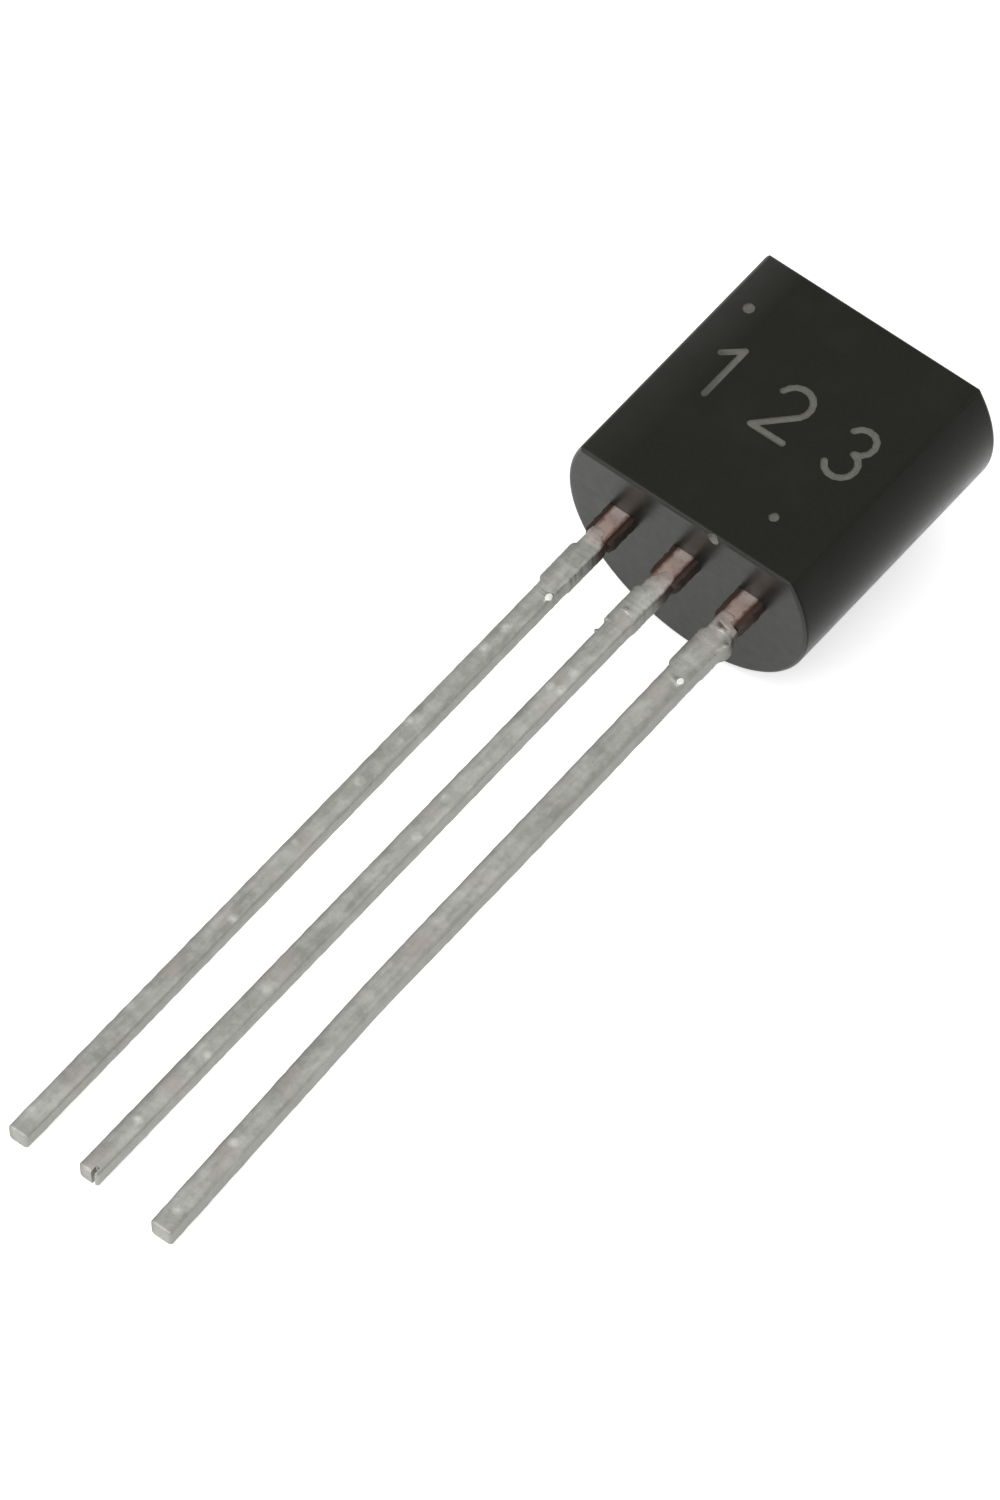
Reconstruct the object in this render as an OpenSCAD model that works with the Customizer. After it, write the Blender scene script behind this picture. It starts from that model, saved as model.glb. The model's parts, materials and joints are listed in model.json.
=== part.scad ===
// A small-signal transistor in the TO-92 outline, lying on its round back.
//
// The black epoxy body is moulded round a stamped copper lead frame. One lead carries the chip on
// a wide flag, and two gold wires run from the chip to the posts of the other two leads. Outside
// the body each lead has a bare copper neck between two fins of moulding flash, the cut stubs of
// the tie bar that once joined the three, and a solder coat down to its tip. The emitter lead was
// bent outwards a little in use.
//
// Every sub-part is drawn in the body's own axes: X runs across the leads, Y runs along them from
// the tips to the top of the body with 0 at the underside, and Z leaves the flat face with 0 in
// the middle of the lead frame. place() then lays the whole part on its round back and lead tips.

/* [Body] */

// Radius of the round back, about the middle of the lead frame
body_r = 2.36; // [2.2:0.02:2.6]

// From the middle of the lead frame to the flat face
flat_up = 1.12; // [1:0.02:1.5]

// Height of the body along the leads
body_h = 4.68; // [4.3:0.02:5.3]

// Rounding of the moulded edges
edge_r = 0.08; // [0.03:0.01:0.15]

// Diameter of the ejector pin's mark on the round back
eject_d = 1.6; // [1:0.1:2]

// Depth of that mark below the crest of the back
eject_depth = 0.2; // [0.16:0.01:0.3]

// From the underside to the middle of that mark
eject_y = 2.5; // [1.8:0.1:3]

// How far the moulding flash stands out on each side of a lead, between the body and the coat
flash_out = 0.085; // [0.04:0.005:0.12]

// How far the flash lies below the lead's flat sides
flash_sink = 0.03; // [0.02:0.005:0.06]

/* [Leads] */

// Distance between neighbouring leads
pitch = 1.27; // [1.15:0.01:1.4]

// Width of the stamped strip
lead_w = 0.33; // [0.3:0.01:0.44]

// Thickness of the stamped strip
lead_t = 0.3; // [0.26:0.01:0.4]

// From the underside to the end of the shortest lead
lead_len = 14.2; // [12.7:0.1:15]

// How much longer the collector, base and emitter leads were cut
cut_over = [0.16, 0.02, 0.13]; // [0:0.01:0.3]

// Angle by which the emitter lead leans outwards below its stubs, in degrees
emitter_lean = 0.35; // [0:0.05:1]

// Further angle by which it was bent outwards near its end, in degrees
bend_angle = 1.6; // [0.4:0.1:2.5]

// From the underside to the start of that bend
bend_down = 8.7; // [6:0.1:10]

// Radius of that bend
bend_r = 30; // [15:1:40]

// Width of the nick that the cutter left in the base lead's end
nick_w = 0.07; // [0.03:0.01:0.12]

// Depth of that nick
nick_depth = 0.12; // [0.06:0.01:0.2]

/* [Tie bar stubs] */

// From the underside to the stubs on the left of each lead
tie_down = 0.95; // [0.95:0.05:1.6]

// Length of the stubs along the lead
tie_h = 0.75; // [0.5:0.05:1]

// How much higher the stubs on the right were cut
tie_skew = 0.2; // [0:0.05:0.25]

// How far the stubs stand out on the left of the collector, base and emitter leads
tie_left = [0.06, 0.05, 0.06]; // [0.01:0.01:0.15]

// How far the stubs stand out on the right of those leads
tie_right = [0.02, 0.02, 0.11]; // [0.01:0.01:0.15]

/* [Solder coat] */

// From the underside to the start of the coat
coat_down = 0.6; // [0.45:0.05:0.65]

// How far the solder crept on up the middle of the lead's flat sides
creep_up = 0.14; // [0.08:0.02:0.2]

// Width of that tongue of solder
creep_w = 0.24; // [0.16:0.02:0.28]

// Thickness of the coat on the flat sides
coat_t = 0.02; // [0.016:0.002:0.03]

// Radius of the coat's long edges
coat_r = 0.05; // [0.035:0.005:0.054]

/* [Lead frame in the body] */

// From the underside to the ears that lock the leads
ear_up = 0.35; // [0.25:0.05:0.45]

// Height of the ears
ear_h = 0.3; // [0.2:0.05:0.35]

// How far the ears stand out on each side
ear_out = 0.13; // [0.06:0.01:0.16]

// From the underside to the top of the base post
base_top = 1.5; // [1.3:0.05:1.6]

// Width of the base post
base_post_w = 0.62; // [0.55:0.01:0.75]

// Height of the base post's head
base_post_h = 0.55; // [0.45:0.05:0.6]

// From the underside to the top of the emitter post
emitter_top = 2.9; // [2.4:0.05:3]

// Width of the emitter post's head
emitter_post_w = 0.7; // [0.6:0.01:0.8]

// Height of the emitter post's head
emitter_post_h = 1; // [0.7:0.05:1.2]

// Gap between the flag and each post
post_gap = 0.25; // [0.15:0.01:0.3]

// How far the flag reaches out beyond the collector lead's outer side
flag_out = 0.2; // [0.1:0.01:0.3]

// Epoxy between the flag and the top of the body
flag_cover = 1.25; // [1:0.05:1.4]

// Diameter of the hole in the flag that the epoxy fills
lock_hole_d = 0.4; // [0.3:0.02:0.44]

/* [Chip and wires] */

// Side of the square chip
die_w = 0.46; // [0.36:0.02:0.6]

// Thickness of the chip
die_t = 0.2; // [0.15:0.01:0.25]

// Thickness of the bond under the chip
attach_t = 0.03; // [0.02:0.005:0.05]

// Width of that bond beyond the chip on each side
attach_out = 0.04; // [0.02:0.01:0.06]

// Diameter of the bond wires
wire_d = 0.05; // [0.04:0.005:0.06]

// Rise of each wire loop above the straight line between its ends
loop_rise = 0.28; // [0.2:0.01:0.36]

/* [Hidden] */

// Which of the three leads, from left to right with the flat face in front and the leads down
COLLECTOR = 0;
BASE = 1;
EMITTER = 2;
lead_x = [-pitch, 0, pitch];
lead_lean = [0, 0, emitter_lean];
lead_bend = [0, 0, bend_angle];

// Facets on a rounded edge, and on a bond wire
edge_steps = 4;
wire_sides = 8;
// Lets a cut run clear of the face that it opens
clear = 1;

// Half the chord of the flat face
flat_half = sqrt(body_r * body_r - flat_up * flat_up);

// The lead with its coat, and the middle of the left stubs, where a lead starts to lean
coated_w = lead_w + 2 * coat_t;
coated_t = lead_t + 2 * coat_t;
stub_y = -(tie_down + tie_h / 2);

// The flag lies above the base post, beside the emitter post and below the cover
flag_left = -pitch - lead_w / 2 - flag_out;
flag_right = pitch + lead_w / 2 + ear_out - emitter_post_w - post_gap;
flag_bottom = base_top + post_gap;
flag_top = body_h - flag_cover;
flag_neck = lead_w + 2 * ear_out;

// The chip sits at the flag's lower right corner, near both posts, and the hole at its upper left
chip_margin = 0.2;
die_x = flag_right - chip_margin - die_w / 2;
die_y = flag_bottom + chip_margin + attach_out + die_w / 2;
hole_x = flag_left + lock_hole_d;
hole_y = flag_top - lock_hole_d;
attach_z = lead_t / 2;
die_z = attach_z + attach_t;
pad_z = die_z + die_t;

// Wire ends: the ball bonds on the chip's pads, and the flattened ends on the posts
pad_off = die_w / 5;
ball_r = wire_d;
ball_h = 0.7 * wire_d;
stitch_w = 1.8 * wire_d;
stitch_h = 0.4 * wire_d;
stitch_len = 1.6 * wire_d;
base_pad = [die_x - pad_off, die_y - pad_off, pad_z];
base_land = [lead_x[BASE], base_top - base_post_h / 2, lead_t / 2];
emitter_pad = [die_x + pad_off, die_y + pad_off, pad_z];
emitter_land = [flag_right + post_gap + emitter_post_w / 2, emitter_top - emitter_post_h / 2,
                lead_t / 2];

// Where the part touches the table: the lower edge of the back, and the longest lead's tip
back_rest_y = edge_r;
tip_rest_y = -(lead_len + max(cut_over) + coat_t);
rest_tilt = atan((body_r - coated_t / 2) / (back_rest_y - tip_rest_y));
floor_z = body_r * cos(rest_tilt) - back_rest_y * sin(rest_tilt);

// Half way between the lowest and the highest Y of the tilted part
y_max = max(body_h * cos(rest_tilt) + (body_r - edge_r) * sin(rest_tilt),
            (body_h - edge_r) * cos(rest_tilt) + body_r * sin(rest_tilt));
y_min = tip_rest_y * cos(rest_tilt) - coated_t / 2 * sin(rest_tilt);
mid_y = (y_min + y_max) / 2;

// Lays the part down on the table, with the middle of its footprint at the origin
module place() {
    translate([0, -mid_y, floor_z])
        rotate([rest_tilt, 0, 0])
            children();
}

// Points of a quarter round of radius r about c, from angle a on
function quarter(c, r, a) =
    [for (i = [0 : edge_steps]) c + r * [cos(a + 90 * i / edge_steps), sin(a + 90 * i / edge_steps)]];

// A w by h outline with rounded corners, about its middle
function rounded_outline(w, h, r) = concat(
    quarter([w / 2 - r, h / 2 - r], r, 0),
    quarter([r - w / 2, h / 2 - r], r, 90),
    quarter([r - w / 2, r - h / 2], r, 180),
    quarter([w / 2 - r, r - h / 2], r, 270));

// ---- Body ----

// The round back as a full turn, with rounded rims
module round_stock() {
    rotate([-90, 0, 0])
        rotate_extrude($fn = 96)
            polygon(concat(
                [[0, 0]],
                quarter([body_r - edge_r, edge_r], edge_r, -90),
                quarter([body_r - edge_r, body_h - edge_r], edge_r, 0),
                [[0, body_h]]));
}

// Side view of the body, swept across it: it gives the flat face and its rounded ends
module flat_stock() {
    rotate([90, 0, -90])
        linear_extrude(2 * body_r + 2 * clear, center = true)
            polygon(concat(
                quarter([-edge_r, flat_up - edge_r], edge_r, 0),
                quarter([edge_r - body_h, flat_up - edge_r], edge_r, 90),
                [[-body_h, -body_r - clear], [0, -body_r - clear]]));
}

// Takes the sharp edge off where the flat face meets the round back
module side_edge_cut() {
    fall = asin(flat_half / body_r);
    translate([flat_half, 0, flat_up])
        rotate([0, fall / 2, 0])
            translate([-clear, -clear, -edge_r / 3])
                cube([2 * clear, body_h + 2 * clear, clear]);
}

module ejector_mark() {
    translate([0, eject_y, -body_r - clear])
        cylinder(d = eject_d, h = eject_depth + clear, $fn = 48);
}

// Thin epoxy that squeezed out beside a lead, in the plane where the mould halves meet
module flash(i) {
    translate([lead_x[i] - lead_w / 2 - flash_out, -coat_down, flash_sink - lead_t / 2])
        cube([lead_w + 2 * flash_out, coat_down + edge_r, lead_t - 2 * flash_sink]);
}

module body() {
    color([0.16, 0.16, 0.15])
        place()
            difference() {
                union() {
                    intersection() {
                        round_stock();
                        flat_stock();
                    }
                    for (i = [COLLECTOR, BASE, EMITTER])
                        flash(i);
                }
                side_edge_cut();
                mirror([1, 0, 0])
                    side_edge_cut();
                ejector_mark();
                for (i = [COLLECTOR, BASE, EMITTER])
                    frame_shape(i);
                attach_shape();
                die_shape();
                base_wire_shape();
                emitter_wire_shape();
            }
}

// ---- Lead frame ----

// Strip of the lead frame: a w wide plate from y0 to y1 about x
module strip(x, w, y0, y1) {
    translate([x - w / 2, y0, -lead_t / 2])
        cube([w, y1 - y0, lead_t]);
}

// The lead below its tie stubs, with the section given by its child. It may lean and bend.
module leg(i, end) {
    below_stubs = lead_len + cut_over[i] + end + stub_y;
    straight = lead_bend[i] > 0 ? bend_down + stub_y : below_stubs;
    translate([lead_x[i], stub_y, 0])
        rotate([0, 0, lead_lean[i]]) {
            rotate([90, 0, 0])
                linear_extrude(straight)
                    children();
            if (lead_bend[i] > 0)
                translate([bend_r, -straight, 0])
                    bent_end(lead_bend[i], below_stubs - straight)
                        children();
        }
}

// An arc about the origin that turns by bend and runs out straight, len long in all
module bent_end(bend, len) {
    rotate([0, 0, 180])
        rotate_extrude(angle = bend, $fn = 720)
            translate([bend_r, 0])
                children();
    rotate([0, 0, 180 + bend])
        translate([bend_r, 0, 0])
            rotate([-90, 0, 0])
                linear_extrude(len - bend_r * bend * PI / 180)
                    children();
}

module nick() {
    translate([lead_x[BASE] + coated_w / 6, -lead_len - cut_over[BASE] + nick_depth - clear, -clear])
        cube([nick_w, clear, 2 * clear]);
}

// What all three leads have: the leg, the stubs, the neck and the locking ears
module stem_shape(i) {
    difference() {
        leg(i, end = 0)
            square([lead_w, lead_t], center = true);
        if (i == BASE)
            nick();
    }
    strip(lead_x[i] - tie_left[i] / 2, lead_w + tie_left[i], -tie_down - tie_h, -tie_down);
    strip(lead_x[i] + tie_right[i] / 2, lead_w + tie_right[i],
          tie_skew - tie_down - tie_h, tie_skew - tie_down);
    strip(lead_x[i], lead_w, stub_y, base_top - base_post_h);
    strip(lead_x[i], lead_w + 2 * ear_out, ear_up, ear_up + ear_h);
}

// The collector's flag, with its neck and the hole that the epoxy fills
module flag_shape() {
    strip(lead_x[COLLECTOR], flag_neck, base_top - base_post_h, flag_bottom);
    difference() {
        strip((flag_left + flag_right) / 2, flag_right - flag_left, flag_bottom, flag_top);
        translate([hole_x, hole_y, 0])
            cylinder(d = lock_hole_d, h = 2 * lead_t, center = true, $fn = 32);
    }
}

module base_post_shape() {
    strip(lead_x[BASE], base_post_w, base_top - base_post_h, base_top);
}

module emitter_post_shape() {
    strip(lead_x[EMITTER], flag_neck, base_top - base_post_h, emitter_top - emitter_post_h);
    strip(flag_right + post_gap + emitter_post_w / 2, emitter_post_w,
          emitter_top - emitter_post_h, emitter_top);
}

module frame_shape(i) {
    stem_shape(i);
    if (i == COLLECTOR)
        flag_shape();
    if (i == BASE)
        base_post_shape();
    if (i == EMITTER)
        emitter_post_shape();
}

module copper_lead(i) {
    color([0.72, 0.53, 0.47])
        place()
            frame_shape(i);
}

module collector_lead() {
    copper_lead(COLLECTOR);
}

module base_lead() {
    copper_lead(BASE);
}

module emitter_lead() {
    copper_lead(EMITTER);
}

// ---- Solder coat ----

// A coated bar from y0 to y1 about x, with rounded long edges
module coated_bar(x, w, y0, y1) {
    translate([x, y1, 0])
        rotate([90, 0, 0])
            linear_extrude(y1 - y0)
                polygon(rounded_outline(w, coated_t, coat_r));
}

// The tongue of solder on the front and the back of the bare neck, with a round end
module creep_tongue(x) {
    translate([x, -coat_down, -coated_t / 2])
        linear_extrude(coated_t) {
            translate([0, creep_up - creep_w / 2])
                circle(d = creep_w, $fn = 32);
            translate([-creep_w / 2, creep_up - 1.5 * creep_w])
                square(creep_w);
        }
}

module coat_shape(i) {
    difference() {
        union() {
            leg(i, end = coat_t)
                polygon(rounded_outline(coated_w, coated_t, coat_r));
            coated_bar(lead_x[i] - tie_left[i] / 2, coated_w + tie_left[i],
                       -tie_down - tie_h - coat_t, coat_t - tie_down);
            coated_bar(lead_x[i] + tie_right[i] / 2, coated_w + tie_right[i],
                       tie_skew - tie_down - tie_h - coat_t, tie_skew + coat_t - tie_down);
            coated_bar(lead_x[i], coated_w, stub_y, -coat_down);
            creep_tongue(lead_x[i]);
        }
        if (i == BASE)
            nick();
        stem_shape(i);
    }
}

module tin_coat(i) {
    color([0.66, 0.67, 0.65])
        place()
            coat_shape(i);
}

module collector_tin() {
    tin_coat(COLLECTOR);
}

module base_tin() {
    tin_coat(BASE);
}

module emitter_tin() {
    tin_coat(EMITTER);
}

// ---- Chip ----

module plate(w, z0, t) {
    translate([die_x - w / 2, die_y - w / 2, z0])
        cube([w, w, t]);
}

module attach_shape() {
    plate(die_w + 2 * attach_out, attach_z, attach_t);
}

module die_shape() {
    plate(die_w, die_z, die_t);
}

module die_attach() {
    color([0.75, 0.75, 0.72])
        place()
            attach_shape();
}

module silicon_die() {
    color([0.35, 0.36, 0.42])
        place()
            die_shape();
}

// ---- Bond wires ----

// One ring of a wire: across the wire by w, in its plane by h, on the direction dir, tilted by a
function ring(c, w, h, dir, a) =
    let (side = [-dir[1], dir[0], 0],
         up = [-dir[0] * sin(a), -dir[1] * sin(a), cos(a)],
         grow = 1 / cos(180 / wire_sides))
    [for (k = [0 : wire_sides - 1])
        let (turn = (k + 0.5) * 360 / wire_sides)
        c + side * cos(turn) * grow * w / 2 + up * sin(turn) * grow * h / 2];

// A bond wire: a ball on the chip's pad, a loop, and a flattened end on the post
module bond_wire(pad, land) {
    steps = 10;
    flat = [land[0] - pad[0], land[1] - pad[1], 0];
    run = norm(flat);
    dir = flat / run;
    start = pad + [0, 0, 1.6 * ball_h];
    stop = land + [0, 0, wire_d / 2];
    drop = stop[2] - start[2];
    ball = [for (z = [0, ball_h]) ring(pad + [0, 0, z], 2 * ball_r, 2 * ball_r, dir, 90)];
    loop = [for (i = [0 : steps])
        let (s = i / steps,
             along = run * (1 - cos(90 * s)),
             z = start[2] + drop * s + loop_rise * sin(180 * s),
             slope = atan2(drop + loop_rise * PI * cos(180 * s), run * PI / 2 * sin(90 * s)))
        ring([pad[0], pad[1], z] + along * dir, wire_d, wire_d, dir, slope)];
    stitch = [for (y = [0.5, 1])
        ring(land + y * stitch_len * dir + [0, 0, stitch_h / 2], stitch_w, stitch_h, dir, 0)];
    rings = concat(ball, loop, stitch);
    last = len(rings) - 1;
    polyhedron(
        points = [for (r = rings) each r],
        faces = concat(
            [[for (k = [0 : wire_sides - 1]) k]],
            [for (i = [0 : last - 1], k = [0 : wire_sides - 1])
                let (a = i * wire_sides, b = a + wire_sides, n = (k + 1) % wire_sides)
                each [[a + k, b + k, b + n], [a + k, b + n, a + n]]],
            [[for (k = [wire_sides - 1 : -1 : 0]) last * wire_sides + k]]));
}

module base_wire_shape() {
    bond_wire(base_pad, base_land);
}

module emitter_wire_shape() {
    bond_wire(emitter_pad, emitter_land);
}

module base_bond_wire() {
    color([0.85, 0.68, 0.3])
        place()
            base_wire_shape();
}

module emitter_bond_wire() {
    color([0.85, 0.68, 0.3])
        place()
            emitter_wire_shape();
}

body();
collector_lead();
base_lead();
emitter_lead();
collector_tin();
base_tin();
emitter_tin();
silicon_die();
die_attach();
base_bond_wire();
emitter_bond_wire();
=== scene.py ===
# %% [markdown]
# # A small transistor in the TO-92 outline
#
# The real part is a black epoxy body, moulded round three stamped copper leads. Below a bare copper
# neck each lead wears a coat of solder. The exact solids come from the frame. This lesson models
# again what a plain solid can't show, such as the flash, the marking and the uneven solder, and
# gives every part its finish.

# %% Load the frame
import json
import math
import random

import bpy
from mathutils import Matrix, Vector


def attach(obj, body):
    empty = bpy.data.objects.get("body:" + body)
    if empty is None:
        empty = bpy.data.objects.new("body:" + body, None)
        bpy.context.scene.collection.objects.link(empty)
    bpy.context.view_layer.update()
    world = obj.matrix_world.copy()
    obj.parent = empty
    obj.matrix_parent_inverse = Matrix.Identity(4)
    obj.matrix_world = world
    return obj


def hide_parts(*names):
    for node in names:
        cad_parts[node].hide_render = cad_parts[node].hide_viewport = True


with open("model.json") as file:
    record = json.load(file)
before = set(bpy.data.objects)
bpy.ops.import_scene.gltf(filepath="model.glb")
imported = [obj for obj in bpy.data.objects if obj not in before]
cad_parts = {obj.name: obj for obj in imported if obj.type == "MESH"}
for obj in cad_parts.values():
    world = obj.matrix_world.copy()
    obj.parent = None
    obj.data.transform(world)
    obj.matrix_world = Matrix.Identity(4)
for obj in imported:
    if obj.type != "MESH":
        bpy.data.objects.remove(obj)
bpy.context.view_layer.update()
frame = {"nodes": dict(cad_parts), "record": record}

MM = 0.001
bpy.ops.object.select_all(action="DESELECT")
print("nodes:", sorted(frame["nodes"]))

# %% [markdown]
# The part lies on its round back and its lead tips, so nothing on it is square to the table. It could
# be modelled lying like that, but then no edge would be straight to type in. The record's two mounts
# say how it lies: one gives the point where the middle lead leaves the body and the direction of the
# leads, the other the normal of the flat face. Together they make a matrix that turns the body's own
# axes (X across the leads, Y up the body, Z out of the flat face) into the frame.

# %% The body's own axes
mounts = {mount["name"]: mount for mount in frame["record"]["mounts"]}
axis_y = -Vector(mounts["leads"]["axis"]).normalized()
axis_z = Vector(mounts["flat_face"]["axis"]).normalized()
axis_x = axis_y.cross(axis_z)
BODY_AXES = Matrix((axis_x, axis_y, axis_z)).transposed().to_4x4()
BODY_AXES.translation = Vector(mounts["leads"]["pos_m"])
REST_TILT = math.atan2(axis_y.z, axis_y.y)
print(f"the part rests tilted by {math.degrees(REST_TILT):.2f} degrees")

# %% [markdown]
# The dressed body has to be exactly as large as the solid one. Its sizes could be typed in again, but
# measured ones follow the solid when that changes.


# %% Measure the solid body
def own_box(node):
    """Lowest and highest corner of a CAD node, measured along the body's own axes."""
    to_own = BODY_AXES.inverted()
    points = [to_own @ vertex.co for vertex in frame["nodes"][node].data.vertices]
    low = Vector(min(p[i] for p in points) for i in range(3))
    high = Vector(max(p[i] for p in points) for i in range(3))
    return low, high


body_high = own_box("body")[1]
BODY_R = body_high.x
BODY_H = body_high.y
FLAT_UP = body_high.z
print(f"body radius {BODY_R / MM:.3f}, height {BODY_H / MM:.3f}, flat at {FLAT_UP / MM:.3f} mm")

# %% [markdown]
# ## The camera
# A part this small would look huge through a near, wide lens. A long lens far away keeps its parallel
# edges nearly parallel. The camera is placed by the way it looks and its distance
# from a point near the middle of the part, because these are easier to tune than a place and three
# angles. It rolls a few degrees, so that the leads run down to the lower left corner.

# %% Camera
AIM = Vector((0.17, -0.0690, 2.0006)) * MM
CAMERA_DISTANCE = 229.1 * MM
CAMERA_AZIMUTH = math.radians(35.23)
CAMERA_ELEVATION = math.radians(49.37)
CAMERA_ROLL = math.radians(5.33)
CAMERA_LENS = 361.7
CLIP_START = 10 * MM

look = Vector((
    -math.sin(CAMERA_AZIMUTH) * math.cos(CAMERA_ELEVATION),
    math.cos(CAMERA_AZIMUTH) * math.cos(CAMERA_ELEVATION),
    -math.sin(CAMERA_ELEVATION)))
bpy.ops.object.camera_add(location=AIM - look * CAMERA_DISTANCE)
camera = bpy.context.object
camera.name = "camera"
camera.rotation_mode = "QUATERNION"
camera.rotation_quaternion = (
    look.to_track_quat("-Z", "Y") @ Matrix.Rotation(CAMERA_ROLL, 4, "Z").to_quaternion())
camera.data.lens = CAMERA_LENS
camera.data.clip_start = CLIP_START
bpy.context.scene.camera = camera
bpy.context.scene.view_settings.view_transform = "Standard"
print("camera at", [round(v / MM, 1) for v in camera.location])

# %% [markdown]
# ## The studio
# Materials, sky and floor are all built from nodes. Nodes could be drawn by hand in the editor, but
# in a script four small functions keep that short. One starts a material, one sets or links a socket,
# one adds a node with all its sockets in one call, and one adds a Math node.


# %% Node helpers
def new_material(name):
    """A new node material, with its tree and its Principled shader."""
    material = bpy.data.materials.new(name)
    material.use_nodes = True
    tree = material.node_tree
    return material, tree, tree.nodes["Principled BSDF"]


def plug(tree, value, socket):
    """Links a value to a socket where it is a socket itself, and sets it where it is a number."""
    if isinstance(value, bpy.types.NodeSocket):
        tree.links.new(value, socket)
    else:
        socket.default_value = value


def add(tree, kind, settings=None, **inputs):
    """Adds a node. settings are its properties. inputs are values, or sockets to link from."""
    node = tree.nodes.new(kind)
    for key, value in (settings or {}).items():
        setattr(node, key, value)
    for key, value in inputs.items():
        plug(tree, value, node.inputs[key.replace("_", " ")])
    return node


def math_node(tree, operation, first, second=0.0):
    """The result of a Math node. Each operand is a number or a socket."""
    node = tree.nodes.new("ShaderNodeMath")
    node.operation = operation
    plug(tree, first, node.inputs[0])
    plug(tree, second, node.inputs[1])
    return node.outputs[0]


# %% [markdown]
# An even pale sky gives most of the light, so that shadows stay soft. It could be one white
# background, but that alone is more light than the part needs. So two backgrounds are mixed: a dim
# one lights dull surfaces, and camera and mirror rays see a white one, so metal shows the white too.


# %% Sky
def mirror_rays(tree, rays):
    """1 for rays that come off a shiny surface or through a clear one, and 0 for others."""
    return math_node(tree, "MAXIMUM", rays.outputs["Is Glossy Ray"],
                     rays.outputs["Is Transmission Ray"])


SKY = 0.62
SKY_SEEN = 1.0
WHITE = (1, 1, 1, 1)

world = bpy.data.worlds.new("studio")
bpy.context.scene.world = world
world.use_nodes = True
sky = world.node_tree
sky.nodes.clear()
rays = add(sky, "ShaderNodeLightPath")
dim = add(sky, "ShaderNodeBackground", Color=WHITE, Strength=SKY)
white = add(sky, "ShaderNodeBackground", Color=WHITE, Strength=SKY_SEEN)
mix = add(sky, "ShaderNodeMixShader")
sky.links.new(math_node(sky, "MAXIMUM", rays.outputs["Is Camera Ray"], mirror_rays(sky, rays)),
              mix.inputs[0])
sky.links.new(dim.outputs[0], mix.inputs[1])
sky.links.new(white.outputs[0], mix.inputs[2])
out = add(sky, "ShaderNodeOutputWorld")
sky.links.new(mix.outputs[0], out.inputs["Surface"])
print("sky:", SKY, "for light and", SKY_SEEN, "where it is seen")

# %% [markdown]
# The floor is a white sheet under the part. A plain pale sheet would render light grey, and more light
# to whiten it would bleach the part. A little glow is added instead, for camera and mirror rays only.
# It lifts the sheet to white, adds no light to dull surfaces and keeps the part's shadow.

# %% Floor
FLOOR_SIZE = 1.2
FLOOR_COLOUR = (0.85, 0.85, 0.85, 1)
CAMERA_GLOW = 0.55
MIRROR_GLOW = 0.31

bpy.ops.mesh.primitive_plane_add(size=FLOOR_SIZE, location=(0, 0, 0))
floor = bpy.context.object
floor.name = "floor"
floor_paint, tree, shader = new_material("floor_paint")
tree.nodes.remove(shader)
rays = add(tree, "ShaderNodeLightPath")
seen = math_node(tree, "MULTIPLY", rays.outputs["Is Camera Ray"], CAMERA_GLOW)
glow = math_node(tree, "ADD", seen, math_node(tree, "MULTIPLY", mirror_rays(tree, rays), MIRROR_GLOW))
light = add(tree, "ShaderNodeEmission", Color=WHITE, Strength=glow)
matt = add(tree, "ShaderNodeBsdfDiffuse", Color=FLOOR_COLOUR)
both = add(tree, "ShaderNodeAddShader")
tree.links.new(matt.outputs[0], both.inputs[0])
tree.links.new(light.outputs[0], both.inputs[1])
tree.links.new(both.outputs[0], tree.nodes["Material Output"].inputs["Surface"])
floor.data.materials.append(floor_paint)
print("floor:", FLOOR_SIZE, "m wide")

# %% [markdown]
# The sky alone would leave the part without shape. Two large area lamps, a strong one and a weak one,
# shade its sides a little. Small lamps would draw hard shadows, and white spots on the leads.

# %% Lamps
# For each lamp: its azimuth and elevation in degrees, its distance and size in metres, its watts.
LAMPS = {"key_lamp": (-75, 50, 0.5, 0.35, 1.2), "fill_lamp": (-140, 30, 0.5, 0.4, 0.7)}

for name, (azimuth, elevation, distance, size, power) in LAMPS.items():
    a, e = math.radians(azimuth), math.radians(elevation)
    way = Vector((math.cos(a) * math.cos(e), math.sin(a) * math.cos(e), math.sin(e)))
    bpy.ops.object.light_add(type="AREA", location=AIM + way * distance)
    lamp = bpy.context.object
    lamp.name = name
    lamp.rotation_euler = (-way).to_track_quat("-Z", "Y").to_euler()
    lamp.data.size = size
    lamp.data.energy = power
    print(name, power, "W")

# %% [markdown]
# ## Tools for modelling
# Every new piece is modelled in the body's own axes and laid down at the end. A hand selects one
# object, and then picks edges or faces on the screen. Without a window they are picked by a test of
# the place of their points, which also still works after a size has changed.


# %% Select and pick
def select_only(piece):
    """Leaves edit mode and makes a piece the only selected and the active object."""
    if bpy.context.mode != "OBJECT":
        bpy.ops.object.mode_set(mode="OBJECT")
    bpy.ops.object.select_all(action="DESELECT")
    piece.select_set(True)
    bpy.context.view_layer.objects.active = piece


def pick(piece, kind, test):
    """Enters edit mode with those "VERT", "EDGE" or "FACE" parts selected whose points all pass."""
    select_only(piece)
    mesh = piece.data
    for part in (*mesh.vertices, *mesh.edges, *mesh.polygons):
        part.select = False
    if kind == "VERT":
        for vertex in mesh.vertices:
            vertex.select = test(vertex.co / MM)
    else:
        for part in mesh.edges if kind == "EDGE" else mesh.polygons:
            part.select = all(test(mesh.vertices[i].co / MM) for i in part.vertices)
    bpy.context.tool_settings.mesh_select_mode = (kind == "VERT", kind == "EDGE", kind == "FACE")
    bpy.ops.object.mode_set(mode="EDIT")


def everywhere(point):
    """The test that every point passes."""
    return True


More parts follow.
